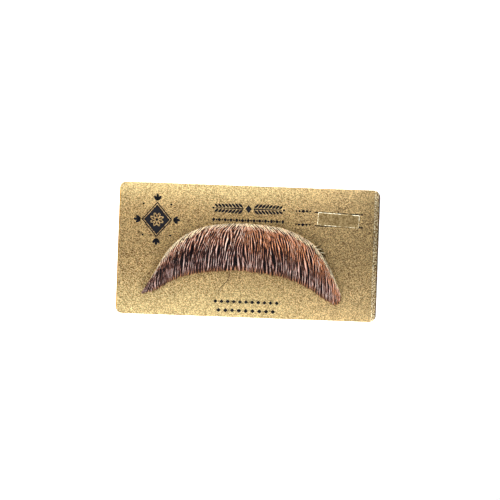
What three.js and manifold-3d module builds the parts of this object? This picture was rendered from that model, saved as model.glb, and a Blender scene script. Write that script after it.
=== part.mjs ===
// A false moustache of real hair, sold ready to wear on a small gold display card.
// The hair is knotted into a strip of lace, arches off it and falls in locks to a trimmed lower edge.
// The lace lies on the card, and a small paper label for the hair's colour is stuck on beside it.
// The card lies flat, face up: X runs along it, Y towards its upper edge, Z up, in millimetres.
// The origin is the middle of the card's underside.
import * as THREE from 'three';
import { mergeVertices } from 'three/addons/utils/BufferGeometryUtils.js';
import Module from 'manifold-3d';

const wasm = await Module();
wasm.setup();

// The moustache as worn: seen from the front, and how far its hair stands off the lace
const moustacheSpan = 108; // from wing tip to wing tip
const moustacheDrop = 41.8; // from the crown of the root edge down to the lowest hair tip
const hairLoft = 5.6; // the hair's middle line at the top of its arch, above the lace
const lockWidth = 3.8; // a lock of hair at its fullest, across the fall of the hair
const lockDepth = 2.2; // the same lock, front to back
const lockCount = 42; // locks side by side, from wing tip to wing tip
const lockUnevenness = 0.6; // how much longer or shorter than the trimmed line a lock ends
const unevenTurn = 2.4; // radians from lock to lock, so that long and short ones don't line up

// The lace strip that the hair is knotted into
const laceThickness = 1;
const laceReach = 0.56; // share of the hair's fall that has lace behind it
const laceSections = 40; // sections that its curved strip is lofted through

// The display card, with the bare margins it leaves round the moustache
const marginLeft = 13.5;
const marginRight = 18.5;
const marginAbove = 20;
const marginBelow = 9.2;
const cardThickness = 0.8;
const cardCornerRadius = 3.6;
const cornerSegments = 6; // facets of each round corner, on the card and on its label

// The colour label, placed from the card's upper right corner
const labelLength = 22.4;
const labelHeight = 7;
const labelThickness = 0.2;
const labelCornerRadius = 0.5;
const labelFromRight = 10.75;
const labelFromTop = 13.3;
const labelTurnDegrees = -2.6; // stuck on by hand, a little askew

// Pieces that lie on one another keep this clearance
const layerGap = 0.1;

const cardLength = marginLeft + moustacheSpan + marginRight;
const cardHeight = marginBelow + moustacheDrop + marginAbove;
const laceFloor = cardThickness + layerGap;
const hairFloor = laceFloor + laceThickness + layerGap;

// Sections of the moustache from the left wing tip to the right one, where a lock leaves the root
// edge and where it ends. Across: shares of half the span, from the middle. Up: shares of the drop,
// from the lowest tip. Rise: share of the loft. Full: share of a lock's width and depth.
const hairSections = [
  { rootAcross: -0.966, rootUp: 0.09, tipAcross: -1.0, tipUp: 0.04, rise: 0.12, full: 0.42 },
  { rootAcross: -0.918, rootUp: 0.22, tipAcross: -0.968, tipUp: 0.05, rise: 0.28, full: 0.55 },
  { rootAcross: -0.862, rootUp: 0.35, tipAcross: -0.91, tipUp: 0.075, rise: 0.46, full: 0.7 },
  { rootAcross: -0.782, rootUp: 0.545, tipAcross: -0.832, tipUp: 0.12, rise: 0.68, full: 0.85 },
  { rootAcross: -0.683, rootUp: 0.7, tipAcross: -0.74, tipUp: 0.195, rise: 0.84, full: 0.95 },
  { rootAcross: -0.556, rootUp: 0.828, tipAcross: -0.635, tipUp: 0.272, rise: 0.94, full: 1 },
  { rootAcross: -0.376, rootUp: 0.925, tipAcross: -0.47, tipUp: 0.328, rise: 1, full: 1 },
  { rootAcross: -0.176, rootUp: 0.966, tipAcross: -0.26, tipUp: 0.366, rise: 1, full: 1 },
  { rootAcross: -0.01, rootUp: 0.976, tipAcross: -0.065, tipUp: 0.384, rise: 0.98, full: 1 },
  { rootAcross: 0.083, rootUp: 0.976, tipAcross: 0.105, tipUp: 0.372, rise: 0.97, full: 1 },
  { rootAcross: 0.231, rootUp: 0.962, tipAcross: 0.296, tipUp: 0.345, rise: 1, full: 1 },
  { rootAcross: 0.413, rootUp: 0.924, tipAcross: 0.49, tipUp: 0.286, rise: 1, full: 1 },
  { rootAcross: 0.592, rootUp: 0.83, tipAcross: 0.672, tipUp: 0.185, rise: 0.98, full: 1 },
  { rootAcross: 0.735, rootUp: 0.702, tipAcross: 0.81, tipUp: 0.068, rise: 0.94, full: 1 },
  { rootAcross: 0.833, rootUp: 0.536, tipAcross: 0.9, tipUp: 0.008, rise: 0.84, full: 0.95 },
  { rootAcross: 0.906, rootUp: 0.362, tipAcross: 0.957, tipUp: 0.0, rise: 0.68, full: 0.85 },
  { rootAcross: 0.963, rootUp: 0.2, tipAcross: 0.988, tipUp: 0.055, rise: 0.36, full: 0.6 },
];

// Sections of one lock from its root to its tip. Along: share of its fall. Height: share of its
// rise. Full: share of its own width and depth.
const lockSections = [
  { along: 0, height: 0.12, full: 0.55 },
  { along: 0.07, height: 0.52, full: 0.86 },
  { along: 0.2, height: 0.9, full: 1 },
  { along: 0.42, height: 1, full: 1 },
  { along: 0.66, height: 0.78, full: 1 },
  { along: 0.9, height: 0.3, full: 0.95 },
  { along: 1, height: 0, full: 0.36 },
];
const lockSides = 6;
const bedSections = 34; // sections that the packed hair under the locks is lofted through
const bedRows = 6; // how many of a lock's sections the packed hair follows before it ends
const bedSink = 0.08; // share of a lock's depth by which the packed hair lies below its middle line

// A point given in shares of the moustache, on the card's plane.
function onCard(across, up) {
  const middle = (marginLeft - marginRight) / 2;
  const lowest = -cardHeight / 2 + marginBelow;
  return new THREE.Vector3(middle + (across * moustacheSpan) / 2, lowest + up * moustacheDrop, 0);
}

const rootEdge = new THREE.CatmullRomCurve3(
  hairSections.map((section) => onCard(section.rootAcross, section.rootUp)),
);
const tipEdge = new THREE.CatmullRomCurve3(
  hairSections.map((section) => onCard(section.tipAcross, section.tipUp)),
);
const middleEdge = new THREE.CatmullRomCurve3(
  hairSections.map((section) =>
    onCard(section.rootAcross, section.rootUp).lerp(onCard(section.tipAcross, section.tipUp), 0.5),
  ),
);

// A column of the table of hair sections at t, from 0 at the left wing tip to 1 at the right one.
function hairShare(column, t) {
  const place = t * (hairSections.length - 1);
  const row = Math.min(Math.floor(place), hairSections.length - 2);
  return THREE.MathUtils.lerp(
    hairSections[row][column],
    hairSections[row + 1][column],
    place - row,
  );
}

// Places along the moustache, evenly spaced across the fall of the hair.
function evenPlaces(count) {
  return Array.from({ length: count }, (_, i) => middleEdge.getUtoTmapping(i / (count - 1)));
}

// A point on the middle line of the hair that leaves the root edge at t. It leans outwards first
// and then falls straight. Extra is how far past the trimmed line it runs.
function hairPoint(t, section, extra = 0) {
  const root = rootEdge.getPoint(t);
  const tip = tipEdge.getPoint(t);
  const fall = tip.clone().sub(root);
  tip.addScaledVector(fall.clone().normalize(), extra);
  const lean = 1 - (1 - section.along) ** 2;
  const tipHeight = laceFloor + (lockDepth / 2) * hairShare('full', t) * section.full;
  return new THREE.Vector3(
    THREE.MathUtils.lerp(root.x, tip.x, lean),
    THREE.MathUtils.lerp(root.y, tip.y, section.along),
    THREE.MathUtils.lerp(hairFloor, tipHeight, section.along) +
      hairLoft * hairShare('rise', t) * section.height,
  );
}

// A closed skin over rings of points that all have the same count, with flat ends.
function loft(rings) {
  const count = rings[0].length;
  const positions = rings.flat().flatMap((point) => [point.x, point.y, point.z]);
  const faces = [];
  for (let ring = 0; ring < rings.length - 1; ring++) {
    for (let i = 0; i < count; i++) {
      const here = ring * count + i;
      const beside = ring * count + ((i + 1) % count);
      faces.push(here, beside, beside + count, here, beside + count, here + count);
    }
  }
  const last = (rings.length - 1) * count;
  for (let i = 1; i < count - 1; i++) {
    faces.push(0, i + 1, i, last, last + i, last + i + 1);
  }
  const skin = new THREE.BufferGeometry();
  skin.setAttribute('position', new THREE.Float32BufferAttribute(positions, 3));
  skin.setIndex(faces);
  return skin;
}

function solidFrom(geometry) {
  const bare = geometry.clone();
  bare.deleteAttribute('normal');
  bare.deleteAttribute('uv');
  const merged = mergeVertices(bare);
  return new wasm.Manifold(
    new wasm.Mesh({
      numProp: 3,
      vertProperties: merged.getAttribute('position').array,
      triVerts: new Uint32Array(merged.getIndex().array),
    }),
  );
}

function geometryFrom(solid) {
  const mesh = solid.getMesh();
  const geometry = new THREE.BufferGeometry();
  geometry.setAttribute('position', new THREE.Float32BufferAttribute(mesh.vertProperties, 3));
  geometry.setIndex(new THREE.BufferAttribute(mesh.triVerts, 1));
  geometry.computeVertexNormals();
  return geometry;
}

function roundedRectangle(length, height, radius) {
  const right = length / 2 - radius;
  const top = height / 2 - radius;
  const outline = new THREE.Shape();
  outline.absarc(right, top, radius, 0, Math.PI / 2);
  outline.absarc(-right, top, radius, Math.PI / 2, Math.PI);
  outline.absarc(-right, -top, radius, Math.PI, 1.5 * Math.PI);
  outline.absarc(right, -top, radius, 1.5 * Math.PI, 2 * Math.PI);
  return outline;
}

function flatSheet(outline, thickness) {
  return new THREE.ExtrudeGeometry(outline, {
    depth: thickness,
    bevelEnabled: false,
    curveSegments: cornerSegments,
  });
}

function cardGeometry() {
  return flatSheet(roundedRectangle(cardLength, cardHeight, cardCornerRadius), cardThickness);
}

function labelGeometry() {
  return flatSheet(roundedRectangle(labelLength, labelHeight, labelCornerRadius), labelThickness);
}

// The lace follows the root edge, and its lower edge runs at its share of the hair's fall.
function laceGeometry() {
  const rings = evenPlaces(laceSections).map((t) => {
    const upper = rootEdge.getPoint(t);
    const lower = upper.clone().lerp(tipEdge.getPoint(t), laceReach);
    const thickness = new THREE.Vector3(0, 0, laceThickness);
    return [upper.clone().add(thickness), lower.clone().add(thickness), lower, upper];
  });
  return loft(rings);
}

// One lock: six-sided rings square to its middle line, tapering to the trimmed tip.
function lockGeometry(t, extra) {
  const line = lockSections.map((section) => hairPoint(t, section, extra));
  const rings = lockSections.map((section, i) => {
    const before = line[Math.max(i - 1, 0)];
    const after = line[Math.min(i + 1, line.length - 1)];
    const forward = after.clone().sub(before).normalize();
    const across = new THREE.Vector3(0, 0, 1).cross(forward).normalize();
    const outward = forward.clone().cross(across);
    const full = section.full * hairShare('full', t);
    return Array.from({ length: lockSides }, (_, side) => {
      const angle = (2 * Math.PI * side) / lockSides;
      return line[i]
        .clone()
        .addScaledVector(across, Math.cos(angle) * (lockWidth / 2) * full)
        .addScaledVector(outward, Math.sin(angle) * (lockDepth / 2) * full);
    });
  });
  return loft(rings);
}

// The packed hair that the locks lie on: an arched body with a flat back against the lace.
function bedGeometry() {
  const rings = evenPlaces(bedSections).map((t) => {
    const sink = lockDepth * bedSink * hairShare('full', t);
    const arch = lockSections.slice(0, bedRows).map((section) => {
      const point = hairPoint(t, section);
      point.z = Math.max(point.z - sink * section.full, hairFloor + layerGap);
      return point;
    });
    const back = [arch[bedRows - 1].clone(), arch[0].clone()];
    back.forEach((point) => (point.z = hairFloor));
    return [...arch, ...back];
  });
  return loft(rings);
}

// Locks that lie against one another can seal a pocket of air, which real hair doesn't hold.
function withoutPockets(solid) {
  const skins = solid.decompose().filter((skin) => skin.volume() > 0);
  return skins.reduce((body, skin) => body.add(skin));
}

function hairGeometry() {
  const locks = evenPlaces(lockCount).map((t, i) =>
    solidFrom(lockGeometry(t, lockUnevenness * Math.sin(unevenTurn * i))),
  );
  const fused = locks.reduce((body, lock) => body.add(lock), solidFrom(bedGeometry()));
  return geometryFrom(withoutPockets(fused));
}

function piece(name, geometry, material) {
  const mesh = new THREE.Mesh(geometry, new THREE.MeshStandardMaterial(material));
  mesh.name = name;
  return mesh;
}

const card = piece('display_card', cardGeometry(), {
  color: 0xc9a962,
  roughness: 0.38,
  metalness: 0.85,
});

const label = piece('colour_label', labelGeometry(), {
  color: 0xc2a773,
  roughness: 0.6,
  metalness: 0.2,
});
label.position.set(
  cardLength / 2 - labelFromRight - labelLength / 2,
  cardHeight / 2 - labelFromTop - labelHeight / 2,
  cardThickness + layerGap,
);
label.rotation.z = THREE.MathUtils.degToRad(labelTurnDegrees);

const lace = piece('lace_base', laceGeometry(), {
  color: 0xb08a63,
  roughness: 0.9,
  metalness: 0,
});
lace.position.z = laceFloor;

const hair = piece('hair', hairGeometry(), {
  color: 0x6b4232,
  roughness: 0.45,
  metalness: 0,
});

const moustacheOnCard = new THREE.Group();
moustacheOnCard.add(card, label, lace, hair);

export default moustacheOnCard;
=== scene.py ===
# %% [markdown]
# # A false moustache on its display card
# The real thing is hair, knotted strand by strand into a strip of lace, and held flat on a small gold
# card. Solids of the right size come in as a fixed frame, and this script builds the looks round them.
# Everything is in metres, in the frame of those solids: X along the card, Y towards its upper edge
# and Z up. Each cell makes one piece or one finish, so they can be run and looked at one by one.

# %% Load the frame
import math

import bpy
import numpy as np
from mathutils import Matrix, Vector


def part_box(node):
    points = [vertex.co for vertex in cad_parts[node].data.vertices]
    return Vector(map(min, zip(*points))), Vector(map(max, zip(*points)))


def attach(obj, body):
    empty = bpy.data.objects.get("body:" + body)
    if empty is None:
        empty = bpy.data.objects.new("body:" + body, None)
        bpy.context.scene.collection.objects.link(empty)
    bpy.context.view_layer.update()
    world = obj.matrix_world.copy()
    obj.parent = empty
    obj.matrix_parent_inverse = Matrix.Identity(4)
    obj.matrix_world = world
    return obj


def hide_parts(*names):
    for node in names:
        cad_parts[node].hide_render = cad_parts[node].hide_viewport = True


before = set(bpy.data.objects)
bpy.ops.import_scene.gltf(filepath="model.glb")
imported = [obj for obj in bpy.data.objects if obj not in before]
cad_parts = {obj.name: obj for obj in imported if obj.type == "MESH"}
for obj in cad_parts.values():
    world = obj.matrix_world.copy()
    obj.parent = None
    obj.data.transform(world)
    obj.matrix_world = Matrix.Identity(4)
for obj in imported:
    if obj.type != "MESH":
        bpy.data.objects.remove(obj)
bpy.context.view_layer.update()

mm = 0.001
print("frame nodes:", sorted(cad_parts))

# %% [markdown]
# ## Sizes
# Nothing is measured by eye that the frame already knows. The boxes of the four solids give the card's
# thickness, the lace's thickness and how deep the hair is. Names such as `card_face` are heights above
# the table that the card lies on.

# %% Heights and widths from the solids
_, card_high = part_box("display_card")
label_low, label_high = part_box("colour_label")
lace_low, lace_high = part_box("lace_base")
hair_low, hair_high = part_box("hair")

half_length, half_height = card_high.x, card_high.y
card_face = card_high.z
lace_top = lace_high.z
hair_depth = hair_high.z - lace_high.z
layer_gap = lace_low.z - card_high.z

# The solid's locks swell past the line of their roots and tips by this much on each side.
swell_left, swell_right, swell_below, swell_above = 0.71 * mm, 0.31 * mm, 0.7 * mm, 0.51 * mm
crown_share = 0.976  # how high the highest root lies, as a share of the moustache's height
moustache_left, moustache_right = hair_low.x + swell_left, hair_high.x - swell_right
moustache_middle = (moustache_left + moustache_right) / 2
half_span = (moustache_right - moustache_left) / 2
moustache_foot = hair_low.y + swell_below
moustache_drop = (hair_high.y - swell_above - moustache_foot) / crown_share
print(f"moustache {2 * half_span / mm:.1f} mm wide, {moustache_drop / mm:.1f} mm tall")

# %% [markdown]
# ## One source of chance
# Hair needs thousands of small differences. They all come from one seeded generator, so that the
# script makes the very same hair each time it runs.

# %% Seeded chance
seed = 2611
chance = np.random.default_rng(seed)


def spread(size, width):
    """Random differences on both sides of zero, mostly within width, never past two and a half."""
    return np.clip(chance.normal(0, width, size), -2.5 * width, 2.5 * width)


# %% [markdown]
# ## Meshes from arrays
# A learner would start with Blender's own cubes and grids. Hair and a die-cut card have too many small
# parts for that, so the points are worked out as NumPy arrays and handed to Blender in one go. Every piece
# is a closed surface, rides on the frame's one body and takes one of the finishes made here.


# %% A piece from points and faces
def add_object(name, data):
    """Puts a mesh, a camera or a lamp into the scene."""
    added = bpy.data.objects.new(name, data)
    bpy.context.scene.collection.objects.link(added)
    return added


def make_piece(name, points, face_sets, material, slot, smooth=True):
    """A mesh object from points and arrays of faces, one array for each number of corners."""
    mesh = bpy.data.meshes.new(name)
    corners = np.concatenate([faces.ravel() for faces in face_sets]).astype(np.int32)
    sizes = np.concatenate([np.full(len(faces), faces.shape[1]) for faces in face_sets])
    mesh.vertices.add(len(points))
    mesh.vertices.foreach_set("co", np.asarray(points, np.float32).ravel())
    mesh.loops.add(len(corners))
    mesh.loops.foreach_set("vertex_index", corners)
    mesh.polygons.add(len(sizes))
    mesh.polygons.foreach_set("loop_start", (np.cumsum(sizes) - sizes).astype(np.int32))
    mesh.update(calc_edges=True)
    mesh.polygons.foreach_set("use_smooth", np.full(len(sizes), smooth))
    piece = add_object(name, mesh)
    mesh.materials.append(material)
    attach(piece, "root")
    print(f"{name}: {int((sizes - 2).sum())} triangles")
    return piece


# %% [markdown]
# ## Shader sums in plain Python
# Cycles works out a material with nodes. Writing `grain * 0.3 + 0.5` is easier to read than adding two
# Math nodes by hand, so `Wire` wraps a socket and its operators add the nodes. `Paint` starts a
# material. Its method `node` adds any node, first its settings and then its sockets, and the others
# are short names for what most materials need.


# %% Wires and paints
class Wire:
    """An output socket that takes part in Python sums."""

    def __init__(self, paint, socket):
        self.paint = paint
        self.socket = socket

    def sum(self, operation, first, second):
        return self.paint.node("ShaderNodeMath", {"operation": operation}, {0: first, 1: second})

    def __add__(self, other):
        return self.sum("ADD", self, other)

    __radd__ = __add__

    def __sub__(self, other):
        return self.sum("SUBTRACT", self, other)

    def __rsub__(self, other):
        return self.sum("SUBTRACT", other, self)

    def __mul__(self, other):
        return self.sum("MULTIPLY", self, other)

    __rmul__ = __mul__

    def step(self, low, high):
        """A soft step: 0 below low, 1 above high."""
        sockets = {"Value": self, "From Min": low, "From Max": high}
        return self.paint.node("ShaderNodeMapRange", {"interpolation_type": "SMOOTHSTEP"}, sockets)


class Paint:
    """A material under way."""

    def __init__(self, name):
        self.material = bpy.data.materials.new(name)
        self.material.use_nodes = True
        self.tree = self.material.node_tree
        self.tree.nodes.clear()

    def node(self, kind, settings=None, sockets=None, output=0):
        """Adds a node: its settings, or a ramp's stops, are set first, then values or wires."""
        node = self.tree.nodes.new(kind)
        for setting, value in (settings or {}).items():
            if setting == "stops":
                ramp = node.color_ramp.elements
                for position, _ in value[1:-1]:
                    ramp.new(position)
                for stop, (position, colour) in zip(ramp, value):
                    stop.position, stop.color = position, (*colour, 1)
            else:
                setattr(node, setting, value)
        for socket, value in (sockets or {}).items():
            if isinstance(value, Wire):
                self.tree.links.new(value.socket, node.inputs[socket])
            else:
                node.inputs[socket].default_value = value
        return Wire(self, node.outputs[output]) if node.outputs else None

    def mix(self, share, first, second):
        """Colours mixed: Mix holds colour sockets, where a Math node would turn them grey."""
        first, second = (c if isinstance(c, Wire) else (*c, 1) for c in (first, second))
        sockets = {0: share, 6: first, 7: second}
        return self.node("ShaderNodeMix", {"data_type": "RGBA"}, sockets, output=2)

    def tint(self, colour, tints):
        """A colour with further ones laid over it, each with its share."""
        for share, over in tints:
            colour = self.mix(share, colour, over)
        return colour

    def stretched(self, vector, stretch):
        return self.node("ShaderNodeVectorMath", {"operation": "MULTIPLY"}, {0: vector, 1: stretch})

    def place(self, stretch=(1, 1, 1)):
        """The point on the object in metres, stretched."""
        return self.stretched(self.node("ShaderNodeTexCoord", output=3), stretch)

    def part(self, vector, axis):
        """One of the three numbers of a vector."""
        return self.node("ShaderNodeSeparateXYZ", {}, {0: vector}, output=axis)

    def noise(self, size, detail=2.0, stretch=(1, 1, 1)):
        """Cloudy noise whose patches are about size across."""
        sockets = {"Vector": self.place(stretch), "Scale": 0.5 / size, "Detail": detail}
        return self.node("ShaderNodeTexNoise", {}, sockets)

    def streaks(self, across, along, detail):
        """The map that hair pieces carry, and noise on it that is drawn out along the hair."""
        hair_map = self.node("ShaderNodeUVMap", {"uv_map": "OFBake"})
        sockets = {"Vector": self.stretched(hair_map, (across, along, 1)), "Scale": 1.0, "Detail": detail}
        return hair_map, self.node("ShaderNodeTexNoise", {}, sockets)

    def bump(self, height, distance, strength):
        sockets = {"Height": height, "Distance": distance, "Strength": strength}
        return self.node("ShaderNodeBump", {}, sockets)

    def finish(self, **sockets):
        """Ends the paint with a Principled shader. Socket names are written with underscores."""
        named = {name.replace("_", " "): value for name, value in sockets.items()}
        named = {n: (*v, 1) if isinstance(v, tuple) else v for n, v in named.items()}
        shader = self.node("ShaderNodeBsdfPrincipled", {}, named)
        self.node("ShaderNodeOutputMaterial", {}, {"Surface": shader})
        return self.material


def grained(name, size, detail, colours, roughness, relief, stretch=(1, 1, 1), limits=None, **sockets):
    """A finish that follows one grain: its two colours, its roughness (least, added) and its bumps."""
    paint = Paint(name)
    grain = paint.noise(size, detail, stretch)
    least, added = roughness
    return paint.finish(
        Base_Color=paint.mix(grain.step(*limits) if limits else grain, *colours),
        Roughness=grain * added + least if added else least,
        Normal=paint.bump(grain, *relief),
        **sockets,
    )


# %% [markdown]
# ## Camera
# The photograph looks straight down at the card with a long lens, and the card lies turned by two
# degrees. A camera high above with a long lens shows the same: hardly any perspective. Where the card's
# middle lies in the picture, in pixels, says how far the camera stands beside it.

# %% A long lens, straight down
photo_width = 500  # pixels
pixels_per_metre = 1859
card_turn = math.radians(2.1)
card_middle_in_photo = (247.85, 251.8)
camera_height = 1.5

right = (photo_width / 2 - card_middle_in_photo[0]) / pixels_per_metre
up = (card_middle_in_photo[1] - photo_width / 2) / pixels_per_metre
camera_data = bpy.data.cameras.new("camera")
camera = add_object("camera", camera_data)
camera.location = (
    right * math.cos(card_turn) - up * math.sin(card_turn),
    right * math.sin(card_turn) + up * math.cos(card_turn),
    camera_height,
)
camera.rotation_euler = (0, 0, card_turn)
camera_data.sensor_width = 36
camera_data.lens = camera_data.sensor_width * camera_height * pixels_per_metre / photo_width
bpy.context.scene.camera = camera
print(f"lens {camera_data.lens:.0f} mm")

# %% [markdown]
# ## Table and light
# The photograph's ground is plain white. A big pale floor that glows a little comes out the same way,
# right into the picture's corners. The sky is bright near the horizon and darker overhead, so that the
# foil, which mirrors what is over it, isn't washed out. Two long soft lamps, one past the card's upper
# edge and one past its lower edge, make the foil shine there and leave its middle darker. A third one
# from the upper left lights the hair's roots. None of them shows itself to the camera.

# %% Floor
floor_glow = 0.4
floor_half = 3.0
floor_low = 0.1 * mm  # just under the card, so that the two faces don't flicker
floor_paint = Paint("pale_floor")
floor_material = floor_paint.finish(
    Base_Color=floor_paint.mix(floor_paint.noise(0.05), (0.93, 0.93, 0.93), (0.96, 0.96, 0.96)),
    Roughness=0.9,
    Emission_Color=(1.0, 1.0, 1.0),
    Emission_Strength=floor_glow,
)
floor_mesh = bpy.data.meshes.new("floor")
corners = [(x * floor_half, y * floor_half, -floor_low) for x, y in ((-1, -1), (1, -1), (1, 1), (-1, 1))]
floor_mesh.from_pydata(corners, [], [(0, 1, 2, 3)])
floor_mesh.materials.append(floor_material)
floor = add_object("floor", floor_mesh)
print(f"floor {2 * floor_half:.0f} m wide")

# %% Sky and lamps
low_sky, high_sky = 0.72, 0.95  # heights between which the sky darkens, 1 being straight overhead
low_light, high_light = 1.35, 0.3
sky = bpy.data.worlds.new("pale_sky")
sky.use_nodes = True
sky_nodes, sky_links = sky.node_tree.nodes, sky.node_tree.links
sky_place = sky_nodes.new("ShaderNodeTexCoord")
sky_split = sky_nodes.new("ShaderNodeSeparateXYZ")
sky_range = sky_nodes.new("ShaderNodeMapRange")
sky_range.interpolation_type = "SMOOTHSTEP"
sky_values = {"From Min": low_sky, "From Max": high_sky, "To Min": low_light, "To Max": high_light}
for socket, value in sky_values.items():
    sky_range.inputs[socket].default_value = value
sky_links.new(sky_place.outputs["Generated"], sky_split.inputs[0])
sky_links.new(sky_split.outputs["Z"], sky_range.inputs["Value"])
sky_links.new(sky_range.outputs["Result"], sky_nodes["Background"].inputs["Strength"])
bpy.context.scene.world = sky
bpy.context.scene.view_settings.view_transform = "Standard"


def soft_lamp(name, place, aim, length, width, power):
    """A long soft lamp that lights the scene but doesn't show in it."""
    data = bpy.data.lights.new(name, "AREA")
    data.shape = "RECTANGLE"
    data.size, data.size_y = length, width
    data.energy = power
    lamp = add_object(name, data)
    lamp.location = place
    lamp.rotation_euler = (lamp.location - Vector(aim)).to_track_quat("Z", "Y").to_euler()
    lamp.visible_camera = False
    print(f"{name}: {power} W")


soft_lamp("upper_lamp", (-0.022, 0.055, 0.05), (-0.022, 0.03, 0), length=0.185, width=0.015, power=0.068)
soft_lamp("lower_lamp", (-0.025, -0.09, 0.075), (-0.025, -0.02, 0), length=0.28, width=0.04, power=0.45)
soft_lamp("root_lamp", (-0.16, 0.36, 0.28), (0, 0, 0), length=0.1, width=0.1, power=2.5)

# %% [markdown]
# ## The gold face
# The card is thin board faced with satin gold foil. Foil over board has a fine, even grain, which
# scatters the light: a metal with middling roughness, whose colour, roughness and small bumps follow
# one light, made of tiny flat facets (a Voronoi texture gives each a tone of its own) and a fine noise.
# The foil's colour is painted paler towards the card's upper and lower edges, and less so at the right: a
# painted sheen.

# %% Foil grain
facet_size, grain_size, hue_size, cloud_size = 0.33 * mm, 0.31 * mm, 0.42 * mm, 9 * mm
# How strong the painted sheen at the upper and lower edges is, and how much of it the right end loses.
sheen_share, right_shade_share = 0.4, 0.7
foil_paint = Paint("gold_foil")
foil_grain = foil_paint.noise(grain_size, 0.5)
facet_sockets = {"Vector": foil_paint.place(), "Scale": 1 / facet_size}
foil_facet = foil_paint.part(foil_paint.node("ShaderNodeTexVoronoi", {}, facet_sockets, output=1), 0)
foil_hue = foil_paint.noise(hue_size, 1.0)
foil_cloud = foil_paint.noise(cloud_size, 2.0)
foil_light = foil_facet * 0.6 + foil_grain * 0.4
foil_across, foil_up = (foil_paint.part(foil_paint.place(), axis) for axis in (0, 1))
# Painted sheen: the foil is painted paler towards the upper and lower edges, and less so at the right.
foil_painted_sheen = (foil_up.step(18 * mm, 36 * mm) + (1 - foil_up.step(-34 * mm, -6 * mm))) * sheen_share
foil_painted_sheen = foil_painted_sheen * (1 - foil_across.step(0 * mm, 50 * mm) * right_shade_share)
foil_low = foil_paint.mix(foil_painted_sheen, (0.10, 0.05, 0.014), (0.52, 0.42, 0.16))
foil_high = foil_paint.mix(foil_painted_sheen, (0.86, 0.62, 0.28), (0.98, 0.92, 0.50))
foil_gold = foil_paint.mix(foil_light.step(0.3, 0.75), foil_low, foil_high)

# %% [markdown]
# The strip beyond the crease is speckled paler and darker, and a pale dotted line along the crease is a
# painted highlight. The left edge is tinted orange, and the right one has a nearly black line of painted
# shade along the cut. From the middle towards the right the foil is painted a little paler, a painted
# sheen. All of this is drawn by place alone, as tints laid one over the other. The cut edge shows the pale
# board, and the back is left plain.

# %% Clouds, specks, and painted sheen, highlight and shade
beyond_crease = foil_across.step(67.0 * mm, 67.7 * mm)
on_crease = beyond_crease * (1 - foil_across.step(67.6 * mm, 68.1 * mm))
foil_gold = foil_paint.tint(foil_gold, [
    (foil_hue.step(0.45, 0.62) * 0.4, (0.62, 0.35, 0.14)),
    (foil_cloud.step(0.3, 0.8) * 0.2, (0.6, 0.41, 0.17)),
    # Painted sheen: the foil is painted a little paler from the middle towards the right.
    (foil_across.step(12 * mm, 58 * mm) * 0.1, (0.93, 0.72, 0.38)),
    (beyond_crease * foil_grain.step(0.52, 0.6) * 0.8, (0.97, 0.85, 0.55)),
    (beyond_crease * (1 - foil_grain.step(0.38, 0.46)) * 0.8, (0.12, 0.05, 0.02)),
    # Painted highlight: a pale dotted line along the crease.
    (on_crease * foil_grain.step(0.42, 0.55), (0.98, 0.88, 0.6)),
    # Painted shade: a nearly black line along the right cut edge.
    (foil_across.step(69.2 * mm, 69.6 * mm) * 0.85, (0.08, 0.035, 0.012)),
    ((1 - foil_across.step(-69.7 * mm, -69.1 * mm)) * 0.7, (0.8, 0.42, 0.08)),
])
gold_foil = foil_paint.finish(
    Base_Color=foil_gold,
    Metallic=0.9,
    Roughness=foil_light * 0.3 + 0.24,
    Coat_Weight=0.3,
    Coat_Roughness=0.35,
    Normal=foil_paint.bump(foil_light, 0.05 * mm, 0.8),
)

# %% Board and back
board_core = grained("board_core", 0.1 * mm, 3.0, ((0.5, 0.44, 0.34), (0.82, 0.78, 0.68)),
                     (0.85, 0), (0.03 * mm, 0.6), stretch=(0.15, 0.15, 1))
board_back = grained("board_back", 0.8 * mm, 4.0, ((0.6, 0.58, 0.53), (0.78, 0.76, 0.71)),
                     (0.8, 0), (0.02 * mm, 0.4), stretch=(1, 0.35, 1))

# %% [markdown]
# ## Die-cut sheets
# Card and label are both sheets with round corners. A flat box with a bevel would do, but a real die
# rolls the face over a little at the cut, and the face has dents and creases. So the sheet is a grid of
# points with rows packed towards the edges, whose height a small function sets. The same grid at the
# underside and a wall round it close the body.


# %% A closed sheet over any grid
def close_grid(face, under):
    """Points and faces of the body between two grids of points."""
    rows, columns = face.shape[:2]
    index = np.arange(rows * columns).reshape(rows, columns)
    quads = np.stack([index[:-1, :-1], index[:-1, 1:], index[1:, 1:], index[1:, :-1]], axis=-1)
    quads = quads.reshape(-1, 4)
    rim = np.concatenate([index[0, :-1], index[:-1, -1], index[-1, :0:-1], index[:0:-1, 0]])
    after = np.roll(rim, -1)
    wall = np.stack([rim, rim + index.size, after + index.size, after], axis=-1)
    points = np.vstack([face.reshape(-1, 3), under.reshape(-1, 3)])
    return points, [quads, quads[:, ::-1] + index.size, wall]


# %% A sheet with round corners
def edge_lines(half, radius, inner):
    """Grid lines from edge to edge: close together in the round corner, and as given between."""
    turn = np.linspace(0, math.pi / 2, 9)
    corner = half - radius + radius * np.sin(turn)
    inner = np.asarray(inner)[np.abs(inner) < half - radius]
    return np.unique(np.concatenate([-corner, inner, corner]).round(7))


def edge_distance(x, y, half_x, half_y, radius):
    """How far a point lies inside the outline of a rectangle with round corners."""
    past_x, past_y = np.abs(x) - (half_x - radius), np.abs(y) - (half_y - radius)
    outside = np.hypot(np.maximum(past_x, 0), np.maximum(past_y, 0))
    return radius - outside - np.minimum(np.maximum(past_x, past_y), 0)


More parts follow.
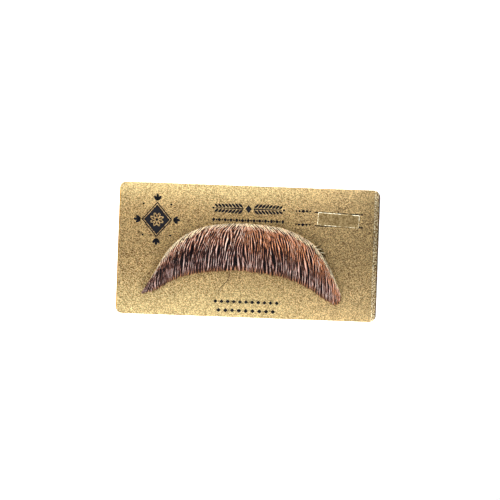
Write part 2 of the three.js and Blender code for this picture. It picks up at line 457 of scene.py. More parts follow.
def make_sheet(name, size, radius, lines, face_height, underside, materials, slot, middle=(0, 0), turn=0,
               border=0):
    """A thin sheet whose face has the height that face_height(x, y, inset) gives, turned about its middle.

    A border that wide round its face takes the material of the cut edge."""
    (half_x, half_y), (lines_x, lines_y) = (side / 2 for side in size), lines
    x_lines, y_lines = edge_lines(half_x, radius, lines_x), edge_lines(half_y, radius, lines_y)
    x, y = np.meshgrid(x_lines, y_lines)
    in_corner = np.clip(np.abs(y) - (half_y - radius), 0, radius)
    reach = half_x - radius + np.sqrt(np.maximum(radius**2 - in_corner**2, 0))
    straight = half_x - radius
    squeezed = straight + (np.abs(x) - straight) * (reach - straight) / radius
    x = np.where(np.abs(x) > straight, np.sign(x) * squeezed, x)
    inset = np.maximum(edge_distance(x, y, half_x, half_y, radius), 0)
    placed_x = middle[0] + x * math.cos(turn) - y * math.sin(turn)
    placed_y = middle[1] + x * math.sin(turn) + y * math.cos(turn)
    face = np.stack([placed_x, placed_y, face_height(x, y, inset)], axis=-1)
    under = np.stack([placed_x, placed_y, underside(x, y, inset)], axis=-1)
    points, faces = close_grid(face, under)
    piece = make_piece(name, points, faces, materials[0], slot, smooth=False)
    for extra in materials[1:]:
        piece.data.materials.append(extra)
    kinds = np.repeat([0, 2, 1], [len(part) for part in faces])
    kinds[: len(faces[0])][inset.ravel()[faces[0]].mean(axis=1) < border] = 1
    piece.data.polygons.foreach_set("material_index", kinds.astype(np.int32))
    weld(piece)
    return piece


def weld(piece, distance=0.002 * mm):
    """Joins points that lie on one another, which also clears faces that have shrunk to nothing."""
    bpy.context.view_layer.objects.active = piece
    modifier = piece.modifiers.new("weld", "WELD")
    modifier.merge_threshold = distance
    bpy.ops.object.modifier_apply(modifier="weld")


# %% [markdown]
# ## The card
# It has a rolled cut edge, a faint crease near its right end, beyond which it tips down, and a small dent
# in the upper part, as cards get in a drawer.

# %% The card's face
corner_radius = 3.6 * mm
roll_width, roll_depth = 0.45 * mm, 0.02 * mm
crease_x, crease_width, crease_depth = 67.4 * mm, 0.35 * mm, 0.09 * mm
flap_slope = 0.06
dent_x, dent_y, dent_radius, dent_depth = 9.5 * mm, 31.5 * mm, 0.9 * mm, 0.06 * mm


def card_height(x, y, inset):
    roll = roll_depth * np.clip(1 - inset / roll_width, 0, 1) ** 2
    flap = flap_slope * np.maximum(x - crease_x, 0)
    crease = crease_depth * np.exp(-(((x - crease_x) / crease_width) ** 2))
    off = np.hypot(x - dent_x, y - dent_y) / dent_radius
    dent = dent_depth * np.where(off < 1, (1 + np.cos(math.pi * np.minimum(off, 1))) / 2, 0)
    burr = 0.25 * dent_depth * np.exp(-(((off - 1.25) / 0.25) ** 2))
    return card_face - roll - flap - crease - dent + burr


near_dent = np.linspace(-1.6, 1.6, 17) * dent_radius
card_columns = np.concatenate([
    np.linspace(-half_length, half_length, 90),
    dent_x + near_dent,
    crease_x + np.linspace(-2, 2, 9) * crease_width,
])
card_rows = np.concatenate([np.linspace(-half_height, half_height, 44), dent_y + near_dent])
card = make_sheet(
    "card", (2 * half_length, 2 * half_height), corner_radius, (card_columns, card_rows),
    card_height, lambda x, y, inset: np.zeros_like(x), [gold_foil, board_core, board_back], "card",
)
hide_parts("display_card")

# %% [markdown]
# ## The colour label
# A strip of thin gold paper is stuck on by hand, a little askew, over one of the printed rules. Its cut
# edges are pale, with a pale border round its face that is a painted highlight along the cut, and its
# corners lift a hair's breadth. It has nothing printed on it.

# %% Label paper and label
label_paper = grained("label_paper", 0.35 * mm, 3.0, ((0.36, 0.235, 0.09), (0.66, 0.48, 0.23)),
                      (0.24, 0.3), (0.015 * mm, 0.5), limits=(0.35, 0.65), Metallic=0.92)
# The pale cut edge of the paper, also laid on a border of the face as a painted highlight along the cut.
edge_paint = Paint("label_cut_edge_and_highlight")
edge_wear = edge_paint.noise(0.9 * mm, 3.0)
label_cut_edge_and_highlight = edge_paint.finish(
    Base_Color=edge_paint.mix(edge_wear.step(0.4, 0.6), (0.5, 0.37, 0.16), (0.93, 0.85, 0.6)),
    Metallic=(1 - edge_wear.step(0.4, 0.6)) * 0.9,
    Roughness=0.5,
)

label_turn = math.radians(-2.6)
label_box = np.array([label_high.x - label_low.x, label_high.y - label_low.y])
turn_mix = np.array([
    [math.cos(label_turn), -math.sin(label_turn)],
    [-math.sin(label_turn), math.cos(label_turn)],
])
label_size = np.linalg.solve(turn_mix, label_box)
label_middle = ((label_low.x + label_high.x) / 2, (label_low.y + label_high.y) / 2)
# How far the corners lift, and how wide the border of painted highlight is.
label_lift, label_border = 0.25 * mm, 0.3 * mm
label_seat, label_roll_width, label_roll_depth = 0.02 * mm, 0.2 * mm, 0.02 * mm
label_thickness = label_high.z - label_low.z + layer_gap - label_seat


def label_height(x, y, inset):
    half_x, half_y = label_size / 2
    corner = np.clip((np.abs(x) / half_x) ** 8 * (np.abs(y) / half_y) ** 3, 0, 1)
    roll = label_roll_depth * np.clip(1 - inset / label_roll_width, 0, 1)
    return label_high.z + label_lift * corner - roll


def label_underside(x, y, inset):
    return label_height(x, y, inset) - label_thickness


label = make_sheet(
    "label", label_size, 0.5 * mm,
    (np.linspace(-0.5, 0.5, 40) * label_size[0], np.linspace(-0.5, 0.5, 16) * label_size[1]),
    label_height, label_underside, [label_paper, label_cut_edge_and_highlight, label_cut_edge_and_highlight], "label",
    middle=label_middle, turn=label_turn, border=label_border,
)
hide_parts("colour_label")
print(f"label {label_size[0] / mm:.1f} by {label_size[1] / mm:.1f} mm")

# %% [markdown]
# ## Print in black ink
# The card is printed with a generic ornament, fill-in rules and rows of small dividers. A picture
# mapped on the card would blur when seen close, so the ink is real: each mark is a flat plate a
# fiftieth of a millimetre high. All marks are star-shaped about their middle, which makes them easy to
# fill with a fan of triangles, and rings and frames are bands between two outlines.

# %% Ink and its marks
black_ink = grained("black_ink", 0.25 * mm, 3.0, ((0.004, 0.004, 0.006), (0.12, 0.085, 0.04)),
                    (0.5, 0.25), (0.01 * mm, 0.3), limits=(0.68, 0.8), Specular_IOR_Level=0.12)
ink_height = 0.02 * mm
angles = np.linspace(0, 2 * math.pi, 48, endpoint=False)
round_way = np.stack([np.cos(angles), np.sin(angles)], axis=1)


def lozenge(half_wide, half_tall):
    """A diamond's outline."""
    reach = 1 / (np.abs(round_way) / (half_wide, half_tall)).sum(axis=1)
    return reach[:, None] * round_way


def oval(half_wide, half_tall):
    return round_way * (half_wide, half_tall)


def leaf(length, width):
    """A pointed leaf, from its base at 0 to its tip at length."""
    bow = np.sin(angles) * np.abs(np.sin(angles)) ** 0.6
    return np.stack([length / 2 * (1 + np.cos(angles)), width / 2 * bow], axis=1)


def rose(radius, petals, notch):
    """A flower's outline with that many round petals."""
    reach = radius * (1 - notch * np.abs(np.cos(petals * angles / 2)) ** 3)
    return reach[:, None] * round_way


def moved(outline, x=0.0, y=0.0, turn=0.0):
    cos, sin = math.cos(turn), math.sin(turn)
    return outline @ np.array([[cos, sin], [-sin, cos]]) + (x, y)


class Print:
    """A group of ink marks that become one piece."""

    def __init__(self):
        self.points, self.faces, self.count = [], [], 0

    def plate(self, flat, triangles, rims):
        """A thin closed plate over flat triangles, with walls along its rims."""
        count = len(flat)
        for z in (card_face + ink_height, card_face):
            self.points.append(np.column_stack([flat, np.full(count, z)]))
        walls = []
        for rim in rims:
            after = np.roll(rim, -1)
            walls += [np.stack([rim, rim + count, after + count], axis=1)]
            walls += [np.stack([rim, after + count, after], axis=1)]
        solid = np.vstack([triangles, triangles[:, ::-1] + count, *walls])
        self.faces.append(solid + self.count)
        self.count += 2 * count

    def mark(self, outline):
        """A filled mark: a fan from its middle."""
        count = len(outline)
        ring = np.arange(count)
        fan = np.stack([ring, np.roll(ring, -1), np.full(count, count)], axis=1)
        self.plate(np.vstack([outline, outline.mean(axis=0)]), fan, [ring])

    def band(self, outer, inner):
        """A filled band between two outlines."""
        count = len(outer)
        ring = np.arange(count)
        after = np.roll(ring, -1)
        halves = [
            np.stack([ring, after, after + count], axis=1),
            np.stack([ring, after + count, ring + count], axis=1),
        ]
        self.plate(np.vstack([outer, inner]), np.vstack(halves), [ring, (ring + count)[::-1]])

    def rule(self, start, end, thick_start, thick_end):
        """A straight rule between two points that may swell from one end to the other."""
        start, end = np.array(start), np.array(end)
        along = (end - start) / np.linalg.norm(end - start)
        side = np.array([-along[1], along[0]]) / 2
        outline = [start - side * thick_start, end - side * thick_end, end + side * thick_end,
                   start + side * thick_start]
        self.mark(np.array(outline))

    def done(self, name):
        points, faces = np.vstack(self.points), [np.vstack(self.faces)]
        make_piece(name, points, faces, black_ink, "card", smooth=False)


# %% [markdown]
# ## The ornament at the upper left
# A lozenge of solid ink with a flower left open in it, as printers cut such blocks, with leaves at its
# four points. It has the weight of the print on the real card and is nobody's mark.

# %% Flower block
ornament = Print()
flower_x, flower_y = -49.5 * mm, 15.6 * mm
block_wide, block_tall = 8.2 * mm, 9.6 * mm
petals = 8
frame_line, frame_half, block_share = 0.42 * mm, 4.4 * mm, 0.84
flower_radius, petal_notch = 3.9 * mm, 0.34
vein_length, vein_width, vein_start = 2.0 * mm, 0.75 * mm, 1.15 * mm
heart_radius = 0.75 * mm
leaf_width, leaf_start = 1.5 * mm, 0.5 * mm
leaf_leans = ((-0.62, 3.3), (0.0, 4.0), (0.62, 3.3))  # turn, and length in mm
dot_out, dot_up, dot_radius, small_dot_radius = 7.4 * mm, 8.4 * mm, 0.55 * mm, 0.32 * mm
small_out, small_up = 1.27, 0.8
for outer, inner in ((1.0, 1 - frame_line / frame_half), (block_share, None)):
    edge = lozenge(block_wide * outer, block_tall * outer)
    if inner:
        inside = lozenge(block_wide * inner, block_tall * inner)
    else:
        inside = rose(flower_radius, petals, petal_notch)
    ornament.band(moved(edge, flower_x, flower_y), moved(inside, flower_x, flower_y))
for petal in range(petals):
    turn = (petal + 0.5) * 2 * math.pi / petals
    vein = moved(leaf(vein_length, vein_width), vein_start)
    ornament.mark(moved(vein, flower_x, flower_y, turn))
ornament.mark(moved(oval(heart_radius, heart_radius), flower_x, flower_y))
for quarter in range(4):
    turn = quarter * math.pi / 2
    tip = block_wide if quarter % 2 == 0 else block_tall
    for lean, length in leaf_leans:
        sprig = moved(leaf(length * mm, leaf_width), leaf_start, 0, lean)
        ornament.mark(moved(moved(sprig, tip), flower_x, flower_y, turn))
for side_x in (-1, 1):
    for side_y in (-1, 1):
        dot_x, dot_y = side_x * dot_out, side_y * dot_up
        dot, small_dot = (oval(radius, radius) for radius in (dot_radius, small_dot_radius))
        ornament.mark(moved(dot, flower_x + dot_x, flower_y + dot_y))
        ornament.mark(moved(small_dot, flower_x + dot_x * small_out, flower_y + dot_y * small_up))
ornament.done("printed_ornament")

# %% [markdown]
# ## The heading
# Two laurel sprays grow from a small lozenge, with leaves that get shorter outwards, and a row of beads
# runs below them. They take the width and the height of a heading.

# %% Laurel and beads
heading = Print()
heading_x, heading_y = -0.4 * mm, 23.0 * mm
spray_start, spray_length, spray_leaves = 2.7 * mm, 15.2 * mm, 8
heading.mark(moved(lozenge(1.7 * mm, 2.3 * mm), heading_x, heading_y))
for side in (-1, 1):
    root = (heading_x + side * spray_start, heading_y)
    tip = (heading_x + side * (spray_start + spray_length), heading_y)
    heading.rule(root, tip, 0.75 * mm, 0.4 * mm)
    for number in range(spray_leaves):
        share = number / spray_leaves
        leaf_x = heading_x + side * (spray_start + spray_length * (share + 0.02))
        leaf_length = (3.6 - 1.1 * share) * mm
        for up_down in (-1, 1):
            blade = moved(leaf(leaf_length, 1.2 * mm), 0, 0.42 * mm, 0.75)
            blade = blade * (side, up_down)
            heading.mark(moved(blade, leaf_x, heading_y))
    heading.mark(moved(oval(0.6 * mm, 0.6 * mm), tip[0] + side * 1.1 * mm, heading_y))
bead_row_y, bead_pitch, bead_count = 16.75 * mm, 1.55 * mm, 12
for number in range(-bead_count, bead_count + 1):
    bead_x = heading_x + number * bead_pitch
    bead = lozenge(0.95 * mm, 1.1 * mm) if number % 2 == 0 else oval(0.5 * mm, 0.5 * mm)
    heading.mark(moved(bead, bead_x, bead_row_y))
heading.done("printed_heading")

# %% [markdown]
# ## Rules to fill in, and the foot
# Two plain rules at the right are there to be filled in, each after a small bullet. The label covers
# most of the lower one. Two short rows of dividers stand at the card's foot.

# %% Fill-in rules
fill_in = Print()
rule_left, rule_right, rule_thick = 35.2 * mm, 61.2 * mm, 0.62 * mm
for left_y, right_y in ((22.55, 22.05), (15.32, 15.1)):
    fill_in.rule((rule_left, left_y * mm), (rule_right, right_y * mm), rule_thick, rule_thick)
    for bullet_x, half in ((25.3, 0.5), (27.0, 0.7), (29.0, 0.95), (31.0, 0.7), (32.7, 0.5)):
        fill_in.mark(moved(lozenge(1.25 * half * mm, half * mm), bullet_x * mm, (left_y + 0.35) * mm))
fill_in.done("printed_rules")

# %% Dividers at the foot
foot = Print()
for row_y, half_row, count, half_bead in ((-27.1, 16.5, 11, 1.05), (-31.8, 14.6, 9, 1.15)):
    for number in range(count):
        bead_x = (2 * number / (count - 1) - 1) * half_row
        foot.mark(moved(lozenge(1.15 * half_bead * mm, half_bead * mm), bead_x * mm, row_y * mm))
        if number < count - 1:
            gap = 2 * half_row / (count - 1)
            start, end = bead_x + 1.5 * half_bead, bead_x + gap - 1.5 * half_bead
            foot.rule((start * mm, row_y * mm), (end * mm, row_y * mm), 0.6 * mm, 0.6 * mm)
foot.done("printed_foot")

# %% [markdown]
# ## The moustache's plan
# Two edges describe the moustache on the card: the edge where the hair is rooted and the trimmed edge
# where it ends. A short table gives both in shares of the moustache's width and height, with how high the
# hair stands there. A smooth curve through the rows then answers for any place `t`, from 0 at the left
# wing's tip to 1 at the right one's, and `fall` says how far down a hair a point lies.

# %% Sections from wing to wing
sections = {
    "root_across": [-0.966, -0.918, -0.862, -0.782, -0.683, -0.556, -0.376, -0.176, -0.01, 0.083, 0.231,
                    0.413, 0.592, 0.735, 0.833, 0.906, 0.963],
    "root_up": [0.09, 0.22, 0.35, 0.545, 0.7, 0.828, 0.925, 0.966, 0.976, 0.976, 0.962,
                0.924, 0.83, 0.702, 0.536, 0.362, 0.2],
    "tip_across": [-1.0, -0.968, -0.91, -0.832, -0.74, -0.635, -0.47, -0.26, -0.065, 0.105, 0.296,
                   0.49, 0.672, 0.81, 0.9, 0.957, 0.988],
    "tip_up": [0.04, 0.05, 0.075, 0.12, 0.195, 0.272, 0.328, 0.366, 0.384, 0.372, 0.345,
               0.286, 0.185, 0.068, 0.008, 0.0, 0.055],
    "rise": [0.12, 0.28, 0.46, 0.68, 0.84, 0.94, 1, 1, 0.98, 0.97, 1,
             1, 0.98, 0.94, 0.84, 0.68, 0.36],
}


def at(column, t):
    """A column's value at t, on a smooth curve through its rows."""
    values = np.asarray(sections[column])
    last = len(values) - 1
    place = np.clip(t, 0, 1) * last
    row = np.minimum(place.astype(int), last - 1)
    part = place - row
    before, start, end, after = (values[np.clip(row + step, 0, last)] for step in (-1, 0, 1, 2))
    curve = 2 * start + (end - before) * part
    curve += (2 * before - 5 * start + 4 * end - after) * part**2
    return (curve + (3 * start - before - 3 * end + after) * part**3) / 2


def on_flow(t, fall):
    """A point on the hair that is rooted at t. It leans outwards first and then falls straight."""
    lean = 1 - (1 - fall) ** 2
    across = at("root_across", t) + (at("tip_across", t) - at("root_across", t)) * lean
    up = at("root_up", t) + (at("tip_up", t) - at("root_up", t)) * fall
    return np.stack([moustache_middle + across * half_span, moustache_foot + up * moustache_drop], axis=-1)


fine_t = np.linspace(0, 1, 600)
middle_edge = on_flow(fine_t, np.full(600, 0.5))
middle_run = np.concatenate([[0], np.cumsum(np.linalg.norm(np.diff(middle_edge, axis=0), axis=1))])
middle_length = middle_run[-1]


def even_place(share):
    """The t that lies at that share of the moustache's length, measured along its middle."""
    return np.interp(share, middle_run / middle_length, fine_t)


def fall_length(t):
    return np.linalg.norm(on_flow(t, np.ones_like(t)) - on_flow(t, np.zeros_like(t)), axis=-1)


longest = fall_length(fine_t).max()
print(f"{middle_length / mm:.0f} mm along the middle, hair up to {longest / mm:.0f} mm long")

# %% [markdown]
# ## How high the hair stands
# Hair knotted into lace springs up at its root, arches over and comes down to the card at its tip. The
# arch rises quickly and falls slowly. Its foot is the lace as far as that reaches, and the card beyond.

# %% Heights of floor and arch
arch_rise, arch_fall = 0.55, 0.85
arch_peak = arch_rise / (arch_rise + arch_fall)
root_spring = 1.1 * mm
tip_clearance = 0.15 * mm
lace_reach = 0.56
lace_end_slope = 0.16
tip_layer, tip_layer_steepness = 0.09, 6


def floor_height(fall):
    """The lace's face, and past the lace's end a slope down to the card."""
    past = np.clip((fall - lace_reach) / lace_end_slope, 0, 1)
    past = past * past * (3 - 2 * past)
    return lace_top + (card_face + tip_clearance - lace_top) * past


def arch(fall):
    """The hair's height along its fall, 1 at the highest place."""
    fall = np.clip(fall, 0, 1)
    shape = (fall / arch_peak) ** arch_rise * ((1 - fall) / (1 - arch_peak)) ** arch_fall
    return shape * (1 - tip_layer) + tip_layer * np.minimum(fall * tip_layer_steepness, 1)


def hair_top(t, fall, share=1.0):
    """The height at that share of the hair's depth. The roots need a millimetre or so to rise."""
    sprung = 1 - np.exp(-fall * fall_length(t) / root_spring)
    return floor_height(fall) + share * hair_depth * at("rise", t) * arch(fall) * sprung


# %% [markdown]
# ## Lace
# The base is a strip of fine lace with a bound edge. Almost all of it lies under the hair, so it is one
# thin sheet with its mesh in the material, and a real binding cord along its edge, which shows as a pale
# line above the roots.

# %% Tubes along many paths
def tubes(paths, radii, sides):
    """Closed tubes along paths, an array of paths by points by 3. Returns points and faces."""
    count, steps = paths.shape[:2]
    run = np.gradient(paths, axis=1)
    run /= np.linalg.norm(run, axis=-1, keepdims=True)
    side = np.cross(run, (0.0, 0.0, 1.0))
    side /= np.maximum(np.linalg.norm(side, axis=-1, keepdims=True), 1e-9)
    top = np.cross(side, run)
    turn = math.pi / 2 + 2 * math.pi * np.arange(sides) / sides
    cos, sin = np.cos(turn)[:, None], np.sin(turn)[:, None]
    ring = cos * side[:, :, None, :] + sin * top[:, :, None, :]
    points = paths[:, :, None, :] + radii[..., None, None] * ring
    index = np.arange(count * steps * sides).reshape(count, steps, sides)
    here, there = index[:, :-1], index[:, 1:]
    walls = np.stack([here, np.roll(here, -1, axis=2), np.roll(there, -1, axis=2), there], axis=-1)
    caps = np.concatenate([index[:, 0, ::-1], index[:, -1]])
    return points.reshape(-1, 3), [walls.reshape(-1, 4), caps]


# %% Lace sheet with a bound edge
lace_paint = Paint("lace_net")
lace_weave = lace_paint.node(
    "ShaderNodeTexVoronoi", {"feature": "DISTANCE_TO_EDGE"}, {"Vector": lace_paint.place(), "Scale": 1100}
)
lace_net = lace_paint.finish(
    Base_Color=lace_paint.mix(lace_weave.step(0.08, 0.16), (0.62, 0.5, 0.33), (0.05, 0.03, 0.02)),
    Roughness=0.9,
    Normal=lace_paint.bump(1 - lace_weave.step(0.05, 0.2), 0.1 * mm, 0.8),
)
lace_thickness = 0.5 * mm
lace_margin = 0.012
lace_t, lace_fall = np.meshgrid(even_place(np.linspace(lace_margin, 1 - lace_margin, 160)),
                                np.linspace(0.03, lace_reach, 14))
lace_plan = on_flow(lace_t, lace_fall)
lace_upper = np.dstack([lace_plan, np.full(lace_t.shape, lace_low.z + lace_thickness)])
lace_lower = np.dstack([lace_plan, np.full(lace_t.shape, lace_low.z)])
lace_points, lace_faces = close_grid(lace_lower, lace_upper)
lace = make_piece("lace", lace_points, lace_faces, lace_net, "lace")
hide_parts("lace_base")

thread_paint = Paint("binding_thread")
thread_twist = thread_paint.node(
    "ShaderNodeTexWave", {"bands_direction": "DIAGONAL"},
    {"Vector": thread_paint.place(), "Scale": 900, "Distortion": 1.5},
    output=1,
)
binding_thread = thread_paint.finish(
    Base_Color=thread_paint.mix(thread_twist, (0.3, 0.2, 0.11), (0.6, 0.45, 0.27)),
    Roughness=0.8,
    Normal=thread_paint.bump(thread_twist, 0.08 * mm, 0.6),
)
binding_radius = (lace_high.z - lace_low.z) * 0.32
binding_start = 0.035
edge_t = even_place(np.linspace(lace_margin, 1 - lace_margin, 240))
upper_bind = on_flow(edge_t, np.full(240, binding_start))
lower_bind = on_flow(edge_t[::-1], np.full(240, lace_reach))
bind_plan = np.vstack([upper_bind, lower_bind])[None]
bind_path = np.dstack([bind_plan, np.full(bind_plan.shape[:2], lace_low.z + binding_radius)])
bind_points, bind_faces = tubes(bind_path, np.full(bind_path.shape[:2], binding_radius), 8)
binding = make_piece("lace_binding", bind_points, bind_faces, binding_thread, "lace")

sheet_area = 0.5 * sum(face.area for face in lace.data.polygons)

# %% [markdown]
# ## Hair colour
# Brown hair varies from strand to strand: near black, red brown, tan, and a few pale ones, partly the
# hair's own colour and partly painted light and shade. Each strand carries its own tone in a UV map, with
# how far along it a point lies, and the material turns both into a colour. The map's name tells an
# exporter to bake by it. Roots at the rim are painted pale, a painted highlight, and middling tones of the
# upper half are ginger. The upper half is painted lighter and the lower half darker, painted light and
# shade, and the lower half has painted silvery glints. The cut tips look coppery against the card: painted
# copper, a painted glow of light through the thin ends. The right wing's end stays ginger all the way
# down.

# %% Hair finishes
tone_stops = [
    (0.0, (0.004, 0.002, 0.003)),
    (0.3, (0.020, 0.0095, 0.0095)),
    (0.5, (0.110, 0.047, 0.036)),
    (0.68, (0.35, 0.140, 0.090)),
    (0.82, (0.65, 0.36, 0.27)),
    (1.0, (0.95, 0.80, 0.68)),
]
# Painted highlight: silvery glints on the pale strands lower down.
silver_glint = (0.55, 0.45, 0.46)
# Painted glow of light through the thin cut tips.
tip_glow_copper = (0.55, 0.24, 0.09)
ginger = (0.62, 0.25, 0.11)
# Painted highlight: cream on the roots where they rise into the light.
highlight_cream = (1.0, 0.88, 0.58)


def hair_finish(name, root_highlight, root_end, glint_share, warmth, warm_end=0.7):
    """Hair painted pale down to root_end, a painted highlight, and ginger down to warm_end; lower down,
    painted silvery glints as strong as the glint share. Each hair is painted lighter above and darker
    below, painted light and shade, and its cut tips are painted copper, a painted glow through the thin
    ends.
    """
    paint = Paint(name)
    hair_map, streak = paint.streaks(30, 7, 2.0)
    tone, along = paint.part(hair_map, 0), paint.part(hair_map, 1)
    # The upper part of each hair is painted lighter and the lower part darker: painted light and shade.
    shade = tone + (streak - 0.5) * 0.3 + (1 - along.step(0.15, 0.6)) * 0.2 - 0.05
    colour = paint.node("ShaderNodeValToRGB", {"stops": tone_stops}, {"Fac": shade})
    if warmth:
        warm = tone.step(0.35, 0.6) * (1 - tone.step(0.78, 0.96) * 0.45)
        warm = warm * (1 - along.step(warm_end - 0.35, warm_end))
        colour = paint.mix(warm * warmth, colour, ginger)
    # Painted silvery glints on the pale strands of the lower half.
    colour = paint.mix(along.step(0.35, 0.7) * tone.step(0.6, 0.85) * glint_share, colour, silver_glint)
    # Painted copper at the cut tips: a painted glow of light through the thin ends.
    colour = paint.mix(along.step(0.9, 0.97) * tone.step(0.2, 0.6) * 0.75, colour, tip_glow_copper)
    # Painted highlight: pale roots where the hair rises into the light.
    if root_highlight:
        root = (1 - along.step(root_end - 0.08, root_end)) * tone.step(0.3, 0.6)
        colour = paint.mix(root * root_highlight, colour, highlight_cream)
    return paint.finish(Base_Color=colour, Roughness=streak * 0.3 + 0.35, Specular_IOR_Level=0.07)


rim_ticks = hair_finish("rim_ticks", 0.95, 0.9, 0.0, 0.0)
rim_tan = hair_finish("rim_tan", 0.3, 0.5, 0.0, 0.8, 1.4)
left_hair = hair_finish("left_hair", 0.35, 0.14, 0.5, 0.4, 0.6)
right_hair = hair_finish("right_hair", 0.35, 0.14, 0.3, 1.0, 0.75)
wing_hair = hair_finish("wing_hair", 0.7, 0.4, 0.0, 0.9, 1.4)
lower_hair = hair_finish("lower_hair", 0.0, 0.1, 0.4, 0.0)

# %% [markdown]
# ## The dark underneath
# Under the top strands lies a packed mass of hair that light hardly reaches. It could be left out, but
# then the card would shine through wherever two locks part. So a dark arched body with grooves along the
# flow fills six tenths of the hair's depth, and it stands for the solid of the frame. Its near-black
# colour is painted shade.

# %% Packed hair
packed_paint = Paint("packed_hair")
packed_streak = packed_paint.streaks(420, 7, 3.0)[1]
# Near black and dark brown: painted shade of the hair above.
packed_dark, packed_brown = (0.006, 0.004, 0.004), (0.045, 0.022, 0.018)
packed_hair = packed_paint.finish(
    Base_Color=packed_paint.mix(packed_streak.step(0.35, 0.75), packed_dark, packed_brown),
    Roughness=packed_streak * 0.3 + 0.4,
    Normal=packed_paint.bump(packed_streak, 0.2 * mm, 0.7),
)
packed_share, packed_end = 0.6, 0.965
packed_columns, packed_rows = 420, 30
groove_pitch, groove_depth = 1.15 * mm, 0.22 * mm
body_share = np.linspace(0.008, 0.992, packed_columns)
body_t, body_fall = np.meshgrid(even_place(body_share), np.linspace(0.0, packed_end, packed_rows))
body_plan = on_flow(body_t, body_fall)
groove_turn = 2 * math.pi * body_share * middle_length / groove_pitch
groove = groove_depth * np.sin(groove_turn + 2.2 * np.sin(groove_turn / 7.3) + 3 * body_fall)
body_rise = hair_top(body_t, body_fall, packed_share)
body_edge = np.clip(np.minimum(body_fall, packed_end - body_fall) * 12, 0, 1)
body_upper = np.dstack([body_plan, body_rise + groove * body_edge * at("rise", body_t)])
body_lower = np.dstack([body_plan, floor_height(body_fall) + 0.02 * mm])
body_points, body_faces = close_grid(body_lower, body_upper)
hair_body = make_piece("hair_body", body_points, body_faces, packed_hair, "hair")
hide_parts("hair")


def lay_map(piece, flat):
    """Gives a piece its UV map, from a place on the map for each point."""
    corners = np.empty(len(piece.data.loops), np.int32)
    piece.data.loops.foreach_get("vertex_index", corners)
    layer = piece.data.uv_layers.new(name="OFBake")
    layer.data.foreach_set("uv", flat[corners].astype(np.float32).ravel())


body_map = np.stack(np.broadcast_arrays(body_share[None, :], body_fall), axis=-1).reshape(-1, 2)
lay_map(hair_body, np.vstack([body_map, body_map]))

# %% [markdown]
# ## Tufts and locks
# The hair is knotted in small tufts, row below row. Blender's own hair curves would render well, but an
# exported model would lose them, so each strand is a thin three-sided tube. A row is a set of knots a
# millimetre apart, and a pale and a dark tuft leave each knot. A little below the rim the strands of all
# rows draw together into the same locks, which leaves dark gaps between them. `lock_place` gives that
# pattern: how far a strand is from its lock's middle, as an angle.

# %% Where hair gathers
parting, parting_width = 0.515, 0.07
rim_start, knot_pitch = -0.5 * mm, 1.12 * mm
sweep_left, sweep_right, sweep_decay, sweep_end = 3.2 * mm, 4.4 * mm, 2.8 * mm, 0.12
swirl_middle, swirl_width, swirl_reach = -2.6 * mm, 3.0 * mm, 2.4 * mm
swirl_start, swirl_drop = 1.0 * mm, 9.0 * mm
lock_pitch, lock_pull, lock_start = 1.3 * mm, 0.3, 1.9 * mm
root_speed = np.linalg.norm(np.gradient(on_flow(fine_t, np.zeros(600)), fine_t, axis=0), axis=1)


def wave(count, s, size, slow=1.0, fast=2.6):
    """A gentle wave along each of count ways, with slow to fast turns from end to end."""
    turns = chance.uniform(slow, fast, (count, 1))
    begin = chance.uniform(0, 2 * math.pi, (count, 1))
    return size * np.sin(begin + 2 * math.pi * turns * s)


def swirl(plan):
    """How far to the right the hair curls where it parts in the lower middle."""
    near = np.exp(-(((plan[..., 0] - swirl_middle) / swirl_width) ** 2))
    below = np.clip((swirl_start - plan[..., 1]) / swirl_drop, 0, 1)
    return swirl_reach * near * below * below


def lock_place(share, down):
    """The angle from a lock's middle. Locks are uneven in width, and wander on their way down."""
    turns = share * middle_length / lock_pitch
    uneven = 0.15 * np.sin(1.7 * turns + 1.3) + 0.4 * np.sin(0.37 * turns)
    wander = 0.45 * np.sin(6.0 * down + 0.5 * turns)
    wander = wander + 0.2 * np.sin(14.0 * down - 1.2 * turns)
    return 2 * math.pi * (turns + uneven + wander)


def tuft_ways(start, shift, steps, pitch, length, laid):
    """Ways down for a row of knots that is start below the rim. Laid hair lies on the rows above it."""
    count = int(middle_length / pitch)
    uneven = 0.2 * np.sin(2.4 * np.arange(count)) if laid else spread(count, 0.12)
    t = even_place((np.arange(count) + 0.5 + shift + uneven) / count)
    t = np.repeat(t, 2)
    t = t[start < 0.55 * fall_length(t)]
    fall = fall_length(t)
    first = start / fall
    last = np.minimum(1, (start + length) / fall) + spread(len(t), 0.4 * mm) / fall
    s = np.linspace(0, 1, steps) ** (1.0 if laid else 1.45)
    down = first[:, None] + (last - first)[:, None] * s
    gone = (down - first[:, None]) * fall[:, None]
    risen = gone + (start - rim_start if laid else 0)
    side = np.clip((t - parting) / parting_width, -1, 1)
    side *= np.clip((0.5 - np.abs(t - 0.5)) / sweep_end, 0, 1)
    sweep = np.where(side < 0, sweep_left, sweep_right) * side / np.interp(t, fine_t, root_speed)
    fade = 1 if laid else math.exp(-start / (2 * sweep_decay))
    way_t = t[:, None] - (sweep * fade)[:, None] * np.exp(-risen / sweep_decay)
    return way_t, down, gone, risen, s


# %% [markdown]
# ## From tufts to strands
# `make_tufts` spreads each tuft's way into strands. Every strand has a share of the moustache's length as
# its side place, so that all of them follow the same flow, and small waves, slants and a few stray ways
# keep them from lying like wires. Tones are drawn for tufts rather than for single strands, because hair
# of one tuft catches the light together. Two short tables make places lighter or darker: the wings' ends
# are light, and a dark band of painted shade runs along the middle of the fall. The table along the
# moustache is partly the hair's own tone and partly painted shade, which darkens the left wing's lower
# half. Strands are painted lighter inside a lock and darker in the gaps between locks, painted light and
# shade, and each knot's pale and dark tufts are partly painted light and shade too. Here and there a tuft
# is struck by light and is painted pale towards its tip, a painted highlight.

# %% Tufts into strands
strand_radius = 0.1 * mm
